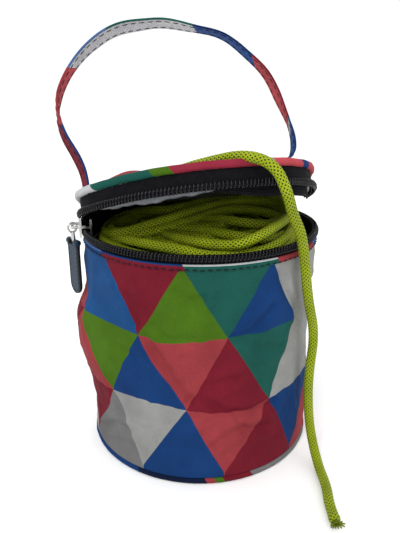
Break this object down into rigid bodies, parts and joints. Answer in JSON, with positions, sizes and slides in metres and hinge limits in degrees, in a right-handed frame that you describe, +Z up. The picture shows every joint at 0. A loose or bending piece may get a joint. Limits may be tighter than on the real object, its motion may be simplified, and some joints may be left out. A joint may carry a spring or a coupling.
{
  "type": "zip-top fabric pouch",
  "caption": "Round padded fabric pouch with a zip-round folding lid, a strap handle, a zip slider with a leather pull, and a hank of braided cord inside.",
  "frame": {"origin": "centre of the round base, on the surface the pouch stands on", "axes": "+Z up the pouch; -Y towards the front, where the lid stands open; +X to the right seen from the front"},
  "size_m": [0.1234, 0.1383, 0.195],
  "materials": {
    "printed_fabric": "printed plain-weave polyester, satin sheen",
    "foam": "closed-cell foam",
    "silver_lining": "metallised film",
    "board": "thin stiffening sheet",
    "black_binding": "woven binding tape",
    "dark_thread": "sewing thread",
    "zip_tape": "woven polyester tape",
    "zip_coil": "moulded nylon coil",
    "zip_metal": "nickel-plated zinc",
    "tab_leather": "dark navy leatherette",
    "cord": "braided lime-green polyester"
  },
  "bodies": {
    "bag": {"base_panel": "printed_fabric", "base_board": "board", "base_lining": "silver_lining", "base_welt": "printed_fabric", "wall_panel": "printed_fabric", "wall_padding": "foam", "wall_lining": "silver_lining", "seam_binding": "black_binding", "rim_hem": "printed_fabric", "rim_binding": "black_binding", "hem_stitching": "dark_thread", "rim_zip_tape": "zip_tape", "rim_zip_coil": "zip_coil", "zip_stops": "zip_metal", "hinge_band": "black_binding", "lid_rear_panel": "printed_fabric", "lid_rear_padding": "foam", "lid_rear_lining": "silver_lining", "lid_rear_welt": "printed_fabric", "handle_anchors": "printed_fabric", "cord_hank": "cord", "cord_tail": "cord"},
    "lid": {"lid_panel": "printed_fabric", "lid_padding": "foam", "lid_lining": "silver_lining", "lid_welt": "printed_fabric", "lid_zip_tape": "zip_tape", "lid_zip_coil": "zip_coil"},
    "handle": {"handle_strap": "printed_fabric", "handle_stitching": "dark_thread"},
    "zip_slider": {"slider_body": "zip_metal", "slider_bail": "zip_metal"},
    "zip_pull": {"pull_link": "zip_metal", "pull_tab": "tab_leather", "pull_tab_stitch": "dark_thread"}
  },
  "joints": [
    {"name": "lid_fold", "type": "hinge", "parent": "bag", "child": "lid", "pos_m": [-0.00433, 0.01159, 0.1168], "axis": [-0.9367, -0.3502, 0], "range_deg": [-21, 74], "deforming": ["cord_tail"]},
    {"name": "handle_swing", "type": "hinge", "parent": "bag", "child": "handle", "pos_m": [-0.05287, 0.0037, 0.124], "axis": [-0.9455, -0.3256, 0], "range_deg": [-8, 80]},
    {"name": "slider_travel", "type": "hinge", "parent": "bag", "child": "zip_slider", "pos_m": [0, 0, 0.1053], "axis": [0, 0, 1], "range_deg": [0, 185]},
    {"name": "pull_swing", "type": "hinge", "parent": "zip_slider", "child": "zip_pull", "pos_m": [-0.05637, -0.01364, 0.1057], "axis": [-0.2351, 0.972, 0], "range_deg": [-2, 135]}
  ]
}
